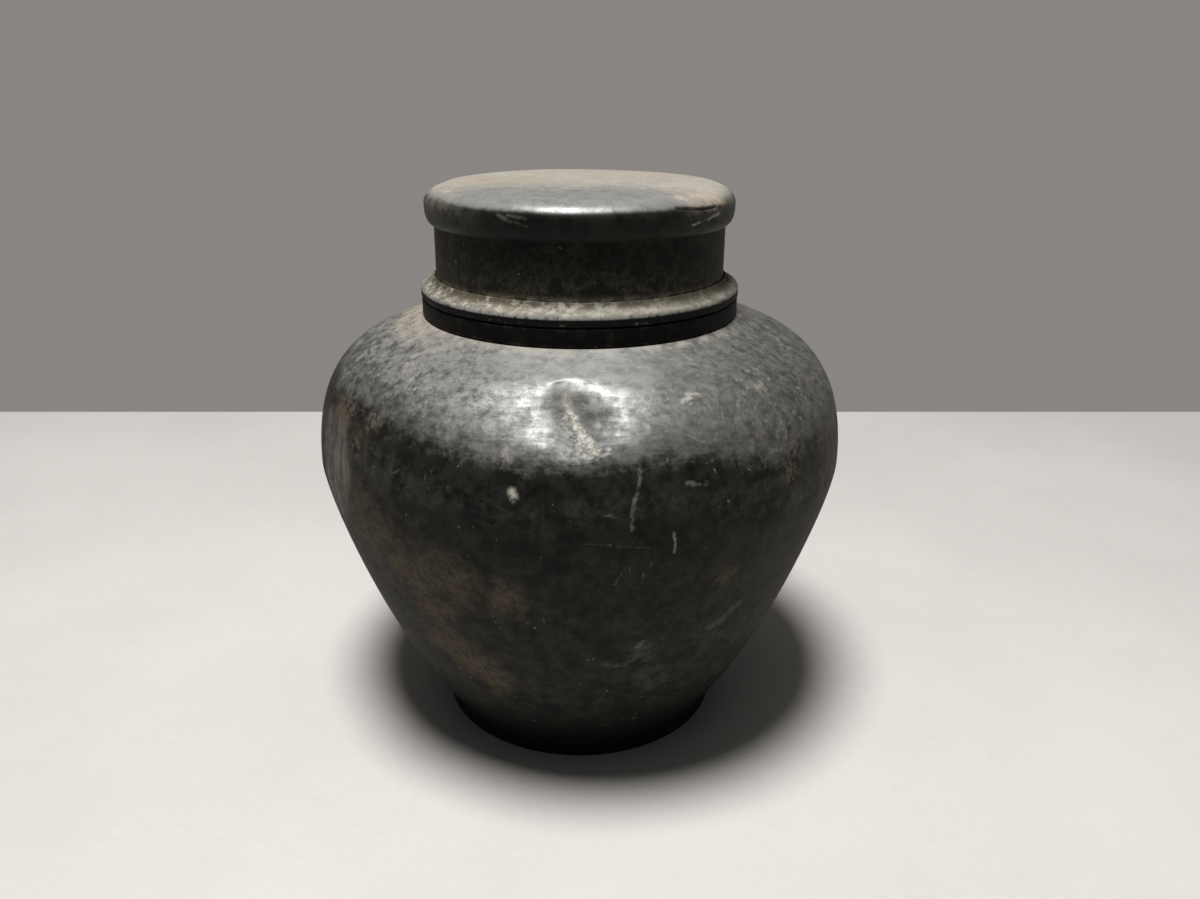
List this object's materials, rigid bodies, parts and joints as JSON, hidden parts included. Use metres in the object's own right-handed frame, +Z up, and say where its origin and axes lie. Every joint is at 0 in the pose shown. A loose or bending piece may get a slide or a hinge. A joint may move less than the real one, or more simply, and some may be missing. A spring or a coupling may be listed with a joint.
{
  "type": "tea caddy",
  "caption": "Wide-shouldered tin tea caddy on a foot ring, with an inner stopper in its neck and a deep round-edged cap that lifts off.",
  "frame": {"origin": "on the caddy's axis, in the plane that the foot ring stands on", "axes": "+Z up along the axis of the neck; -Y is the side that faces the picture's camera"},
  "size_m": [0.145, 0.145, 0.1523],
  "materials": {
    "dark_tin": "tin under a near-black patina, satin",
    "dusty_tin": "patinated tin, mottled grey and dusty",
    "dull_tin": "bare tin, dulled grey",
    "solder": "soft solder, dull"
  },
  "bodies": {
    "jar": {"foot_ring": "dark_tin", "base_plate": "dull_tin", "base_solder": "solder", "lower_shell": "dark_tin", "belly_solder": "solder", "upper_shell": "dusty_tin", "neck_tube": "dull_tin", "neck_solder": "solder", "neck_collar": "dark_tin"},
    "stopper": {"stopper_plate": "dull_tin", "stopper_skirt": "dull_tin", "stopper_solder": "solder", "stopper_knob": "dull_tin"},
    "cap": {"cap_wall": "dark_tin", "cap_lip": "dusty_tin", "cap_top": "dusty_tin", "cap_solder": "solder"}
  },
  "joints": [
    {"name": "stopper_lift", "type": "slide", "parent": "jar", "child": "stopper", "axis": [0, 0, 1], "range_m": [0, 0.04]},
    {"name": "cap_lift", "type": "slide", "parent": "stopper", "child": "cap", "axis": [0, 0, 1], "range_m": [0, 0.06]}
  ]
}
